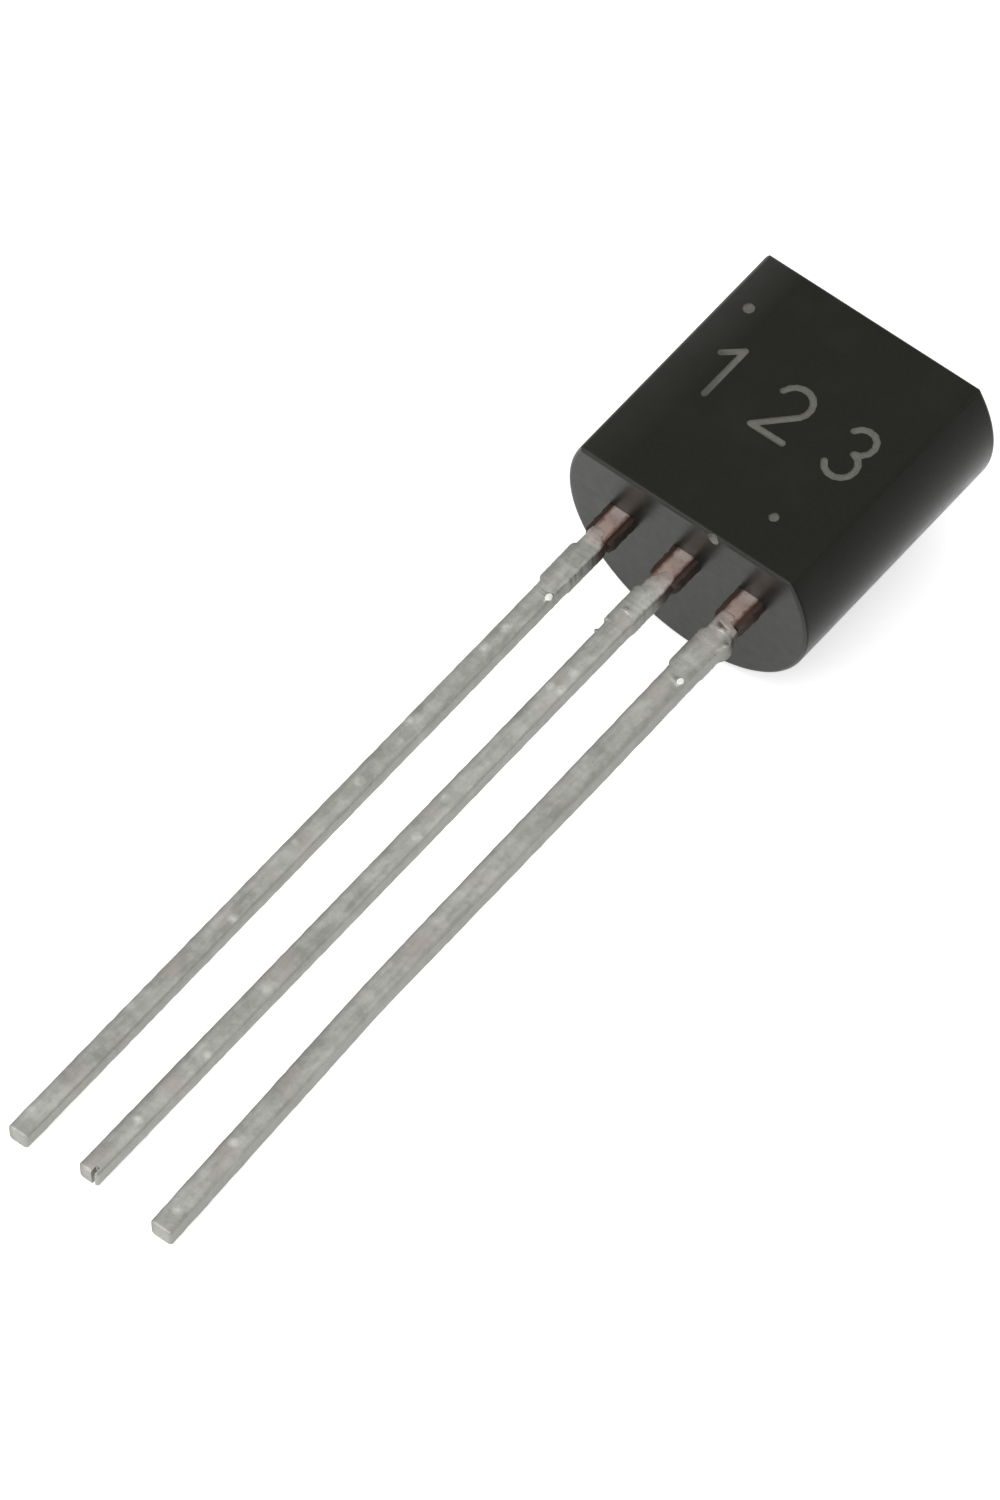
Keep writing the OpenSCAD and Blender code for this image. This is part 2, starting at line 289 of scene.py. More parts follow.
# %% [markdown]
# Modifiers and booleans are added and applied at once. They could stay live, but a finished mesh is
# simpler to measure and to hand on.


# %% Start, change and measure a piece
def start(name, material):
    """Names the primitive just added, gives it a material and fixes its place in its mesh."""
    piece = bpy.context.object
    piece.name = name
    piece.data.materials.clear()
    piece.data.materials.append(material)
    bpy.ops.object.transform_apply(location=True, rotation=True, scale=True)
    return piece


def apply(piece, kind, **settings):
    """Adds a modifier with these settings and applies it."""
    select_only(piece)
    modifier = piece.modifiers.new(kind.lower(), kind)
    for key, value in settings.items():
        setattr(modifier, key, value)
    bpy.ops.object.modifier_apply(modifier=modifier.name)


def combine(piece, tool, operation, overlaps=False):
    """Cuts, joins or intersects a piece with a tool, and throws the tool away."""
    apply(piece, "BOOLEAN", operation=operation, object=tool, solver="EXACT",
          material_mode="TRANSFER", use_self=overlaps)
    bpy.data.objects.remove(tool)


def size_of(piece):
    """A line that says how large a piece is, in faces and millimetres."""
    size = " x ".join(f"{length / MM:.2f}" for length in piece.dimensions)
    return f"{piece.name}: {len(piece.data.polygons)} faces, {size} mm"


# %% [markdown]
# ## Finish of the epoxy
# Moulding epoxy is a resin full of glass powder. The mould is eroded to a fine grain, so the flat
# face and the round back are dull. A flat pattern could be wrapped round the part, but patterns that are
# worked out in space have no seam and stay sharp from near. They all use the body's own axes in
# millimetres, so a number here can be compared with a size on the part.


# %% Coordinates for the patterns
def own_mm(tree):
    """The body's own coordinates in millimetres, as a socket."""
    place = add(tree, "ShaderNodeTexCoord")
    turn = add(tree, "ShaderNodeMapping", {"vector_type": "TEXTURE"}, Vector=place.outputs["Object"],
               Location=BODY_AXES.translation, Rotation=(REST_TILT, 0, 0), Scale=(MM, MM, MM))
    return turn.outputs[0]


def along(tree, point):
    """The three coordinates of a point, as three sockets."""
    return add(tree, "ShaderNodeSeparateXYZ", Vector=point).outputs


def stretch(tree, vector, scale):
    """Coordinates scaled by three factors, to draw a pattern out along an axis."""
    return add(tree, "ShaderNodeMapping", Vector=vector, Scale=scale).outputs[0]


# %% [markdown]
# A finish is a colour, a roughness and a relief, and each of them changes from place to place. The
# Noise node gives a number that changes, the Map Range node carries it to the range that is wanted,
# and a Mix or a Bump node makes it a colour or a relief. Each gets a function with short arguments.


# %% Patterns, colours and bumps
def noise(tree, vector, scale, detail=2.0, roughness=0.5):
    """A cloudy pattern from 0 to 1, scale clouds to the millimetre."""
    node = add(tree, "ShaderNodeTexNoise", Vector=vector, Scale=scale, Detail=detail,
               Roughness=roughness)
    return node.outputs[0]


def remap(tree, value, low, high, to_low, to_high):
    """Carries a value from one range to another, and holds it there."""
    node = tree.nodes.new("ShaderNodeMapRange")
    for socket, given in zip(node.inputs[0:5], (value, low, high, to_low, to_high)):
        plug(tree, given, socket)
    return node.outputs[0]


def blend_colour(tree, factor, first, second):
    """Mixes two colours by a factor. Each colour is three numbers or a socket."""
    node = tree.nodes.new("ShaderNodeMix")
    node.data_type = "RGBA"
    tree.links.new(factor, node.inputs[0])
    for socket, colour in ((node.inputs[6], first), (node.inputs[7], second)):
        plug(tree, (*colour, 1) if isinstance(colour, tuple) else colour, socket)
    return node.outputs[2]


def bump(tree, height, depth, strength=1.0, normal=None):
    """The normal of a surface with this height pattern. depth is in millimetres."""
    node = add(tree, "ShaderNodeBump", Height=height, Distance=depth * MM, Strength=strength)
    if normal is not None:
        plug(tree, normal, node.inputs["Normal"])
    return node.outputs[0]


# %% [markdown]
# All the epoxy surfaces are one recipe. Pale clouds and specks of glass lie in a dark colour, a grain
# of bumps scatters the gloss, and the flat face may be paler towards its left edge, more so higher up.
# One function with a few values makes them all, so they stay a family.


# %% Epoxy recipe
CLOUDS, SPECKS, GRAINS = 0.9, 16, 28  # how many to the millimetre
PALE_FROM, PALE_FULL = -1.35, -2.1      # where the paler left edge begins and is palest, in mm
PALE_LOW, PALE_HIGH = 0.5, 4.4          # it grows from here to here up the body, in mm
EPOXY_GLOSS = (0.98, 1, 0.92, 1)      # the slightly olive tint of its reflections
GLOSS_CHANGE = 0.05                   # how much the roughness changes from place to place


def epoxy(name, colour, worn, roughness, ior, grain, left_pale=None):
    """A grained epoxy. worn is its colour in paler clouds, grain the depth of the grain in mm, and
    the last argument its paler colour towards the left edge of the flat face, if it has one."""
    material, tree, shader = new_material(name)
    own = own_mm(tree)
    clouds = remap(tree, noise(tree, own, CLOUDS, 4, 0.65), 0.45, 0.75, 0, 1)
    specks = remap(tree, noise(tree, own, SPECKS, 2), 0.35, 0.75, 0, 0.5)
    mixed = blend_colour(tree, math_node(tree, "MAXIMUM", clouds, specks), colour, worn)
    if left_pale is not None:
        # paler towards the left edge of the flat face, more so higher up
        x, y, _ = along(tree, own)
        near_edge = remap(tree, x, PALE_FROM, PALE_FULL, 0, 1)
        upwards = remap(tree, y, PALE_LOW, PALE_HIGH, 0.35, 1)
        broken = remap(tree, noise(tree, own, 2.2, 3), 0.3, 0.7, 0.7, 1)
        paleness = math_node(tree, "MULTIPLY", math_node(tree, "MULTIPLY", near_edge, upwards), broken)
        mixed = blend_colour(tree, paleness, mixed, left_pale)
    plug(tree, mixed, shader.inputs["Base Color"])
    rough = remap(tree, noise(tree, own, 5, 3), 0.3, 0.7,
                  roughness - GLOSS_CHANGE, roughness + GLOSS_CHANGE)
    plug(tree, rough, shader.inputs["Roughness"])
    plug(tree, bump(tree, noise(tree, own, GRAINS, 3, 0.6), grain), shader.inputs["Normal"])
    shader.inputs["IOR"].default_value = ior
    shader.inputs["Specular Tint"].default_value = EPOXY_GLOSS
    return material


# %% [markdown]
# The flat wall, the round wall and the end walls of the mould were ground in different ways, so each
# leaves its own gloss. The laser's groove, the broken edge and the thin flash show the same resin
# burnt, fresh and stained by the copper. One black for all would lose these, so there are six.

# %% Epoxy materials
moulded_epoxy = epoxy("moulded_epoxy", (0.0105, 0.0105, 0.0084), (0.0155, 0.015, 0.0127),
                      0.22, 1.2, 0.003, left_pale=(0.038, 0.0375, 0.036))
round_epoxy = epoxy("round_epoxy", (0.0075, 0.0075, 0.006), (0.0115, 0.011, 0.009), 0.2, 1.2, 0.002)
end_epoxy = epoxy("end_epoxy", (0.011, 0.011, 0.0098), (0.016, 0.0155, 0.014), 0.33, 1.44, 0.001)
laser_mark = epoxy("laser_mark", (0.098, 0.096, 0.085), (0.16, 0.157, 0.142), 0.75, 1.4, 0.012)
fresh_break = epoxy("fresh_break", (0.16, 0.155, 0.135), (0.3, 0.29, 0.25), 0.7, 1.5, 0.01)
resin_flash = epoxy("resin_flash", (0.028, 0.018, 0.0145), (0.055, 0.033, 0.027), 0.5, 1.3, 0.008)
print("materials:", sorted(material.name for material in bpy.data.materials))

# %% [markdown]
# ## The body
# The mould is a round hollow with one flat wall. The body could be an outline pushed up, but then its
# rims would have to be cut in one by one. Instead it is the common part of two stocks, a round one for
# the back and a straight one for the flat face. Both have rounded rims, so where they meet the rims
# mitre, as they do in a mould. The round one comes first.

# %% Round stock
EDGE_R = 0.08 * MM
EDGE_STEPS = 5
bpy.ops.mesh.primitive_cylinder_add(
    vertices=160, radius=BODY_R, depth=BODY_H, location=(0, BODY_H / 2, 0),
    rotation=(math.radians(90), 0, 0))
body = start("epoxy_body", round_epoxy)
pick(body, "EDGE", everywhere)
bpy.ops.mesh.select_all(action="DESELECT")
bpy.ops.mesh.edges_select_sharp(sharpness=math.radians(60))
bpy.ops.mesh.bevel(offset=EDGE_R, segments=EDGE_STEPS, affect="EDGES")
select_only(body)
print(size_of(body))

# %% [markdown]
# The straight stock is a block whose top is the flat face. It stands out a hair at both ends, so that
# no faces of the two stocks coincide, which a boolean handles badly.

# %% Straight stock
STOCK_W = 6 * MM
STOCK_DOWN = 3 * MM
OVER = 0.001 * MM
bpy.ops.mesh.primitive_cube_add(
    size=1, location=(0, BODY_H / 2, (FLAT_UP - STOCK_DOWN) / 2),
    scale=(STOCK_W, BODY_H + 2 * OVER, FLAT_UP + STOCK_DOWN))
straight_stock = start("straight_stock", moulded_epoxy)
pick(straight_stock, "EDGE", lambda p: p.z * MM > FLAT_UP - OVER)
bpy.ops.mesh.bevel(offset=EDGE_R, segments=EDGE_STEPS, affect="EDGES")
select_only(straight_stock)
combine(body, straight_stock, "INTERSECT")
print(size_of(body))

# %% [markdown]
# The flat face would meet the back in two sharp edges, and resin never fills the last of a sharp
# corner. A bevel would have to pick these edges out among many short ones, so a plane across each
# cuts the sharpness off.

# %% Long edges
CUT_BACK = EDGE_R / 3
flat_half = math.sqrt(BODY_R ** 2 - FLAT_UP ** 2)
fall = math.asin(flat_half / BODY_R)
for side in (-1, 1):
    facing = Vector((side * math.sin(fall / 2), 0, math.cos(fall / 2)))
    edge = Vector((side * flat_half, 0, FLAT_UP))
    pick(body, "FACE", everywhere)
    bpy.ops.mesh.bisect(plane_co=edge - facing * CUT_BACK, plane_no=facing, use_fill=True,
                        clear_outer=True, threshold=0.0001 * MM)
    bpy.ops.mesh.select_all(action="SELECT")
    bpy.ops.mesh.normals_make_consistent(inside=False)
select_only(body)
print("long edges cut back by", round(CUT_BACK / MM, 3), "mm")

# %% [markdown]
# An ejector pin pushed the part out of the mould by its back, and left a shallow round mark there. An
# inset disc would be flat all round, but the pin meets a curved back. So the pin itself is cut away.

# %% Ejector mark
EJECT_R = 0.8 * MM
EJECT_L = 1 * MM
EJECT_UP = 2.5 * MM
EJECT_DEPTH = 0.2 * MM
bpy.ops.mesh.primitive_cylinder_add(
    vertices=64, radius=EJECT_R, depth=EJECT_L,
    location=(0, EJECT_UP, EJECT_DEPTH - BODY_R - EJECT_L / 2))
ejector = start("ejector_pin", round_epoxy)
pick(ejector, "EDGE", lambda p: p.z * MM > -BODY_R)
bpy.ops.mesh.bevel(offset=0.03 * MM, segments=3, affect="EDGES")
select_only(ejector)
combine(body, ejector, "DIFFERENCE")
print(size_of(body))

# %% [markdown]
# A little resin always squeezes out between the mould halves, beside the leads. It stays as a thin
# dark fin on each side of a neck, down to where the solder starts. Two loose fins would need a fit to
# the lead, so each pair starts as one cube across it, whose middle the lead's cavity takes out later.
# The cube is cut into small faces, its outer sides are shaken and its lower end is drawn in.

# %% Moulding flash
PITCH = 1.27
LEAD_X = (-PITCH, 0.0, PITCH)
FLASH_W = 0.5
FLASH_T = 0.24
FLASH_DOWN = 0.6
FLASH_IN = 0.05
DRAWN_IN = ((-0.5, 0.96), (-0.57, 0.93))  # below this height, the width shrinks to this share
for number, x in enumerate(LEAD_X):
    bpy.ops.mesh.primitive_cube_add(
        size=1, location=(x * MM, (FLASH_IN - FLASH_DOWN) / 2 * MM, 0),
        scale=(FLASH_W * MM, (FLASH_IN + FLASH_DOWN) * MM, FLASH_T * MM))
    fins = start("fins", resin_flash)
    pick(fins, "EDGE", everywhere)
    bpy.ops.mesh.subdivide(number_cuts=9)
    pick(fins, "VERT", lambda p: abs(p.x - x) > FLASH_W / 2 - 0.01 and p.y < FLASH_IN / 2)
    bpy.ops.transform.vertex_random(offset=0.012 * MM, uniform=1, seed=number + 3)
    for height, share in DRAWN_IN:
        pick(fins, "VERT", lambda p: p.y < height)
        bpy.ops.transform.resize(value=(share, 1, 1), center_override=(x * MM, 0, 0))
    select_only(fins)
    combine(body, fins, "UNION")
print(size_of(body))

# %% [markdown]
# A laser writes on the flat face with one stroke of even width, and burns it a little into the
# epoxy. A font's letters would have outlines of their own, so the strokes are drawn as a pen's path.
# What stands here is plain: the numbers of the three pins, each above its own lead.


# %% Strokes of the marking
def arc(x, y, radius, first, last, steps=9):
    """Points on an arc about x, y between two angles in degrees."""
    turns = [math.radians(first + (last - first) * i / steps) for i in range(steps + 1)]
    return [(x + radius * math.cos(turn), y + radius * math.sin(turn)) for turn in turns]


def one(x, y):
    """The stroke of a 1 that stands at x, y. It is 1 mm high, as are the others."""
    return [(x - 0.22, y + 0.76), (x + 0.06, y + 1), (x + 0.06, y)]


def two(x, y):
    """The stroke of a 2."""
    return arc(x, y + 0.71, 0.29, 165, -35) + [(x - 0.3, y), (x + 0.32, y)]


def three(x, y):
    """The stroke of a 3."""
    return arc(x, y + 0.755, 0.245, 155, -80, 8) + arc(x, y + 0.26, 0.265, 80, -155, 9)


DIGIT_Y = 1.98
strokes = [one(LEAD_X[0], DIGIT_Y), two(LEAD_X[1], DIGIT_Y), three(LEAD_X[2], DIGIT_Y)]
print("strokes:", len(strokes))

# %% [markdown]
# The burnt groove has round ends and round corners. It could be a curve with a thickness, but that
# tears at sharp corners. Each straight piece of a stroke is the hull of two pen tips instead, and a
# curve is a row of short pieces. Two round dots are pressed beside them, and all are cut at once.

# %% Burn the marking in
PEN_R = 0.058
MARK_DEPTH = 0.02
DOTS = ((-1.68, 3.65, 0.1), (1.085, 0.83, 0.085))


def pen_tip(x, y, radius):
    """A short round pin through the flat face, as deep below it as the mark."""
    bpy.ops.mesh.primitive_cylinder_add(
        vertices=14, radius=radius * MM, depth=2 * MARK_DEPTH * MM,
        location=(x * MM, y * MM, FLAT_UP))
    return start("pen_tip", laser_mark)


def join(pieces):
    """Makes one object of several."""
    select_only(pieces[0])
    for piece in pieces:
        piece.select_set(True)
    bpy.ops.object.join()
    return pieces[0]


bars = [pen_tip(*dot) for dot in DOTS]
for stroke in strokes:
    for a, b in zip(stroke, stroke[1:]):
        bar = join([pen_tip(*a, PEN_R), pen_tip(*b, PEN_R)])
        pick(bar, "VERT", everywhere)
        bpy.ops.mesh.convex_hull()
        select_only(bar)
        bars.append(bar)
combine(body, join(bars), "DIFFERENCE", overlaps=True)
print(size_of(body))

# %% [markdown]
# A grain of glass broke out of the lower edge of the flat face. Pulling a few points would leave
# smooth slopes, but a break is rough. So a shaken ball is cut away, and its inside is the pale
# colour of fresh epoxy.

# %% Broken edge
CHIP_R = 0.105
CHIP_X, CHIP_Y, CHIP_DOWN = 0.56, 0.01, 0.12
bpy.ops.mesh.primitive_ico_sphere_add(
    subdivisions=3, radius=CHIP_R * MM, location=(CHIP_X * MM, CHIP_Y * MM, FLAT_UP - CHIP_DOWN * MM))
chip = start("chip", fresh_break)
pick(chip, "VERT", everywhere)
bpy.ops.transform.vertex_random(offset=0.02 * MM, seed=5)
select_only(chip)
combine(body, chip, "DIFFERENCE")
print(size_of(body))

# %% [markdown]
# ## The lead frame
# The three leads are stamped from one copper strip. They could be drawn again, but every bit of their
# outline fits the solid ones, so each starts as a copy of its CAD mesh. The copy's faces don't share
# their corners, so it is merged and cleaned of needless edges.


# %% Copies of CAD meshes
def cad_copy(node, name, material):
    """A merged copy of a CAD node's mesh, still lying in the frame."""
    piece = bpy.data.objects.new(name, frame["nodes"][node].data.copy())
    bpy.context.scene.collection.objects.link(piece)
    piece.data.materials.clear()
    piece.data.materials.append(material)
    for polygon in piece.data.polygons:
        polygon.material_index = 0
    pick(piece, "VERT", everywhere)
    bpy.ops.mesh.remove_doubles(threshold=0.0002 * MM)
    bpy.ops.mesh.dissolve_limited(angle_limit=math.radians(0.5))
    bpy.ops.mesh.normals_make_consistent(inside=False)
    select_only(piece)
    return piece


def smooth(piece, angle):
    """Shades a piece smoothly over edges flatter than an angle, and keeps its flat faces flat."""
    select_only(piece)
    bpy.ops.object.shade_smooth_by_angle(angle=math.radians(angle))
    apply(piece, "WEIGHTED_NORMAL", keep_sharp=True)


# %% [markdown]
# Bare copper from a hot mould is pinkish brown along the middle of the neck. Clouds of dark oxide stain
# it, and its edges and sides are painted darker as shade. A paler patch just below the body is a painted
# highlight, and where the cutter nicked the middle lead's end its fresh metal is painted pale, as light
# in the nick. Painting each lead would be three jobs. The leads stand an even pitch apart, so one
# pattern that repeats with the pitch finishes all of them.

# %% Copper
COPPER = (0.4, 0.305, 0.265)
COPPER_HIGHLIGHT = (0.56, 0.49, 0.46)      # a painted highlight, just below the body
COPPER_OXIDE_AND_SHADE = (0.1, 0.045, 0.033)
COPPER_NICK_LIGHT = (0.88, 0.86, 0.82)
CUT_FROM, CUT_FULL = -13.7, -13.9    # towards the tip, where only the cutter's nick lays it bare, painted pale as light
BRIGHT_HALF, SHADE_HALF = 0.085, 0.15  # from the lead's middle: bright up to here, painted shade from here

copper, tree, shader = new_material("copper")
own = own_mm(tree)
x, y, z = along(tree, own)
off_middle = math_node(tree, "PINGPONG", math_node(tree, "ADD", x, 10 * PITCH), PITCH / 2)
shaken = math_node(tree, "ADD", off_middle, remap(
    tree, noise(tree, own, 9, 2), 0.3, 0.7, -0.02, 0.02))
# painted shade along the neck's edges and sides; the stain clouds are oxide
copper_edge_shade = remap(tree, shaken, BRIGHT_HALF, SHADE_HALF, 0, 1)
copper_side_shade = remap(tree, z, 0.15, 0.11, 0, 1)
stain = remap(tree, noise(tree, own, 7, 4, 0.6), 0.5, 0.8, 0, 0.6)
dark = math_node(tree, "MAXIMUM", math_node(tree, "MAXIMUM", copper_edge_shade, copper_side_shade), stain)
# a painted highlight just below the body
bare = blend_colour(tree, remap(tree, y, -0.2, -0.08, 0, 0.6), COPPER, COPPER_HIGHLIGHT)
metal = blend_colour(tree, dark, bare, COPPER_OXIDE_AND_SHADE)
# fresh metal in the cutter's nick, painted pale as light in the nick
metal = blend_colour(tree, remap(tree, y, CUT_FROM, CUT_FULL, 0, 1), metal, COPPER_NICK_LIGHT)
plug(tree, metal, shader.inputs["Base Color"])
plug(tree, remap(tree, dark, 0, 1, 0.6, 0.15), shader.inputs["Metallic"])
rough = remap(tree, noise(tree, own, 12, 3), 0.3, 0.7, 0.38, 0.55)
plug(tree, rough, shader.inputs["Roughness"])
scratches = noise(tree, stretch(tree, own, (26, 2, 26)), 1, 3)
plug(tree, bump(tree, scratches, 0.006), shader.inputs["Normal"])
print(copper.name, "has", len(tree.nodes), "nodes")

# %% [markdown]
# The punch that cuts the strip rolls its edges over a little. The Bevel modifier finds all sharp
# edges by their angle, so none has to be picked by hand.

# %% Leads
LEADS = ("collector", "base", "emitter")
LEAD_EDGE_R = 0.025 * MM
leads = {}
for lead in LEADS:
    piece = cad_copy(lead + "_lead", lead + "_copper", copper)
    apply(piece, "BEVEL", width=LEAD_EDGE_R, segments=2, limit_method="ANGLE",
          angle_limit=math.radians(40))
    smooth(piece, 35)
    leads[lead] = piece
    print(size_of(piece))

# %% [markdown]
# The epoxy flowed round the leads, the chip and the wires, and fills all the room between them. So
# the body has a cavity for each. They could be modelled as hollows, but they are cut with copies of
# the pieces themselves, so everything fits without a gap. The body is laid down first, because the
# pieces already lie in the frame.


# %% Cavities
def lay_down(piece):
    """Takes a piece from the body's own axes to the frame."""
    select_only(piece)
    piece.matrix_world = BODY_AXES
    bpy.ops.object.transform_apply(location=True, rotation=True, scale=True)


def twin(piece, material):
    """A copy of a piece with its own mesh, to cut with. The cut faces get the material."""
    copy = piece.copy()
    copy.data = piece.data.copy()
    copy.data.materials.clear()
    copy.data.materials.append(material)
    bpy.context.scene.collection.objects.link(copy)
    return copy


INSIDE = ("silicon_die", "die_attach", "base_bond_wire", "emitter_bond_wire")
lay_down(body)
for lead in LEADS:
    combine(body, twin(leads[lead], moulded_epoxy), "DIFFERENCE")
for node in INSIDE:
    combine(body, cad_copy(node, "cutter", moulded_epoxy), "DIFFERENCE")
print(size_of(body))

# %% [markdown]
# ## The solder coats
# The leads were dipped in solder, so the coat is uneven: drawn out in long streaks, with stains and
# small specks. One even grey would look like steel. The patterns are stretched along the lead, and
# small clouds break them up.

# %% Solder: streaks and stains
SOLDER_DARK, SOLDER_PALE = (0.26, 0.263, 0.239), (0.425, 0.428, 0.404)
WARM_STAIN, COOL_STAIN = (0.385, 0.343, 0.316), (0.322, 0.325, 0.281)

solder, tree, shader = new_material("solder")
own = own_mm(tree)
x, y, z = along(tree, own)
streaks = noise(tree, stretch(tree, own, (5, 0.9, 5)), 1, 4, 0.55)
clouds = noise(tree, own, 3.2, 4, 0.65)
patches = remap(tree, math_node(tree, "ADD", streaks, clouds), 0.8, 1.22, 0, 1)
metal = blend_colour(tree, patches, SOLDER_DARK, SOLDER_PALE)
stains = noise(tree, own, 1.1, 3, 0.6)
metal = blend_colour(tree, remap(tree, stains, 0.52, 0.66, 0, 0.55), metal, WARM_STAIN)
metal = blend_colour(tree, remap(tree, stains, 0.46, 0.34, 0, 0.45), metal, COOL_STAIN)
print("solder so far:", len(tree.nodes), "nodes")

# %% [markdown]
# Tiny crystals stand out of the solder and catch the light. Modelled ones would be thousands, so their
# glints are painted as pale dots, in cells of a pattern: half of the cells are let through, each as a
# dot, and clouds thin them out.

# %% Solder: specks
SPECK_GLINT = (0.62, 0.625, 0.6)
CELLS = 2.6  # to the millimetre

cells = add(tree, "ShaderNodeTexVoronoi", Vector=own, Scale=CELLS)
some = math_node(tree, "GREATER_THAN", cells.outputs["Color"], 0.5)
dots = remap(tree, cells.outputs["Distance"], 0.05, 0.3, 0.75, 0)
thinned = remap(tree, noise(tree, own, 9, 2), 0.35, 0.6, 0.3, 1)
specks = math_node(tree, "MULTIPLY", math_node(tree, "MULTIPLY", dots, some), thinned)
# painted highlights: the pale glints of the crystals
metal = blend_colour(tree, specks, metal, SPECK_GLINT)
print("specks:", CELLS, "cells to the millimetre")

# %% [markdown]
# Below a lead's top face the solder is painted paler, as light on its sides, and its two long edges are
# painted darker, as shade. Near the neck the solder is thin and the copper shines through. All of this
# follows from where a point is on the lead. The emitter lead is bent outwards, so its bend is first
# taken out of the pattern.

# %% Solder: across the leads
FLANK_LIGHT = (0.455, 0.46, 0.42)
COPPERY = (0.6, 0.5, 0.455)
EDGE_SHADE = (0.15, 0.15, 0.133)
BENT_TIP = -14.33                  # the emitter lead's tip, where it has gone furthest aside
LEAN_TOP, LEAN_ASIDE = -1.33, 0.079
BEND_TOP, BEND_ASIDE = -9.12, 0.145

# painted light: the lead's sides below its top face are paler
metal = blend_colour(tree, remap(tree, z, 0.168, 0.12, 0, 0.7), metal, FLANK_LIGHT)
height = math_node(tree, "ADD", y, remap(tree, clouds, 0.3, 0.7, -0.08, 0.08))
metal = blend_colour(tree, remap(tree, height, -0.85, -0.55, 0, 0.75), metal, COPPERY)
aside = math_node(tree, "ADD", remap(tree, y, LEAN_TOP, BENT_TIP, 0, LEAN_ASIDE),
                  remap(tree, y, BEND_TOP, BENT_TIP, 0, BEND_ASIDE))
on_emitter = math_node(tree, "GREATER_THAN", x, 0.9)
straight = math_node(tree, "SUBTRACT", x, math_node(tree, "MULTIPLY", on_emitter, aside))
in_pitch = math_node(tree, "FLOORED_MODULO", math_node(
    tree, "ADD", straight, 10.5 * PITCH), PITCH)
# painted shade along the lead's two long edges
metal = blend_colour(tree, remap(tree, in_pitch, 0.565, 0.47, 0, 0.45), metal, EDGE_SHADE)
metal = blend_colour(tree, remap(tree, in_pitch, 0.79, 0.86, 0, 0.33), metal, EDGE_SHADE)
print("solder so far:", len(tree.nodes), "nodes")

# %% [markdown]
# Two places are darker: a small spot near the emitter's neck, and the sides of the necks below the
# body, where shade is painted. A cut would leave a bright rim that catches the light, so they are only
# darker in the pattern.

# %% Solder: a dark spot and painted shade
DARK_SPOT_AT = (1.53, -0.93, 0.16)
DARK_SPOT_GREY, NECK_SIDE_SHADE = (0.16, 0.155, 0.145), (0.07, 0.05, 0.042)

# a darker spot near the emitter's neck
to_spot = add(tree, "ShaderNodeVectorMath", {"operation": "DISTANCE"}, Vector=own)
to_spot.inputs[1].default_value = DARK_SPOT_AT
dark_spot = remap(tree, to_spot.outputs["Value"], 0.02, 0.055, 0.75, 0)
metal = blend_colour(tree, dark_spot, metal, DARK_SPOT_GREY)
# painted shade on the sides of the necks, just below the body
sides = remap(tree, z, 0.15, 0.12, 0, 1)
neck_side_shade = math_node(tree, "MULTIPLY", sides, remap(tree, height, -1.15, -0.8, 0, 0.9))
plug(tree, blend_colour(tree, neck_side_shade, metal, NECK_SIDE_SHADE), shader.inputs["Base Color"])
print("bare spot at", DARK_SPOT_AT)

# %% [markdown]
# Dipped solder freezes a little rough. Large soft lumps run down the lead and a fine skin lies over
# them. The lumps are too low to show in the outline, so two bumps do instead of a shaken mesh.

# %% Solder: roughness and lumps
shader.inputs["Metallic"].default_value = 1
plug(tree, remap(tree, noise(tree, own, 6, 3), 0.3, 0.7, 0.42, 0.58), shader.inputs["Roughness"])
lumps = bump(tree, noise(tree, stretch(tree, own, (5, 1.8, 5)), 1, 3, 0.6), 0.03, 0.5)
plug(tree, bump(tree, noise(tree, own, 24, 3), 0.004, 1.0, lumps), shader.inputs["Normal"])
print(solder.name, "has", len(tree.nodes), "nodes")

# %% [markdown]
# Where the flux boiled, it left white beads on the solder. They are chalky and not metal, so they get
# a material of their own.

# %% White flux
FLUX_GREY, FLUX_WHITE = (0.72, 0.72, 0.69), (0.9, 0.9, 0.88)

flux, tree, shader = new_material("white_flux")
own = own_mm(tree)
chalk = remap(tree, noise(tree, own, 14, 3), 0.35, 0.65, 0, 1)
plug(tree, blend_colour(tree, chalk, FLUX_GREY, FLUX_WHITE), shader.inputs["Base Color"])
plug(tree, remap(tree, chalk, 0, 1, 0.45, 0.65), shader.inputs["Roughness"])
plug(tree, bump(tree, noise(tree, own, 30, 2), 0.004), shader.inputs["Normal"])
print(flux.name, "has", len(tree.nodes), "nodes")

# %% [markdown]
# The coat's outline comes from three things. The tie bar that held the leads together was cut away
# and left short stubs, which the coat follows. Solder ran down one edge of the emitter lead. And that
# lead is bent. Each gets a small function of the height, in millimetres along the body's Y axis.

# %% Where the coats reach
COAT_W, COAT_T, COAT_CORNER = 0.37, 0.34, 0.055
STUB_LEFT = (0.06, 0.05, 0.045)    # how far each lead's stubs stand out
STUB_RIGHT = (0.02, 0.02, 0.015)
STUB_H = 0.75
LEAN, LEAN_FROM = 0.0061, -1.325   # the emitter lead leans from here down
BEND_FROM, BEND_L, BEND_R, BEND_SLOPE = -8.7, 0.838, 30, 0.0279
DROP, DROP_Y, DROP_H = 0.07, -0.97, 0.18


def outward(number, y):
    """How far the emitter lead has been bent outwards at a height y. The others are straight."""
    if number < 2:
        return 0
    bent = min(max(0, BEND_FROM - y), BEND_L)
    below = max(0, BEND_FROM - BEND_L - y)
    return LEAN * max(0, LEAN_FROM - y) + bent ** 2 / (2 * BEND_R) + BEND_SLOPE * below


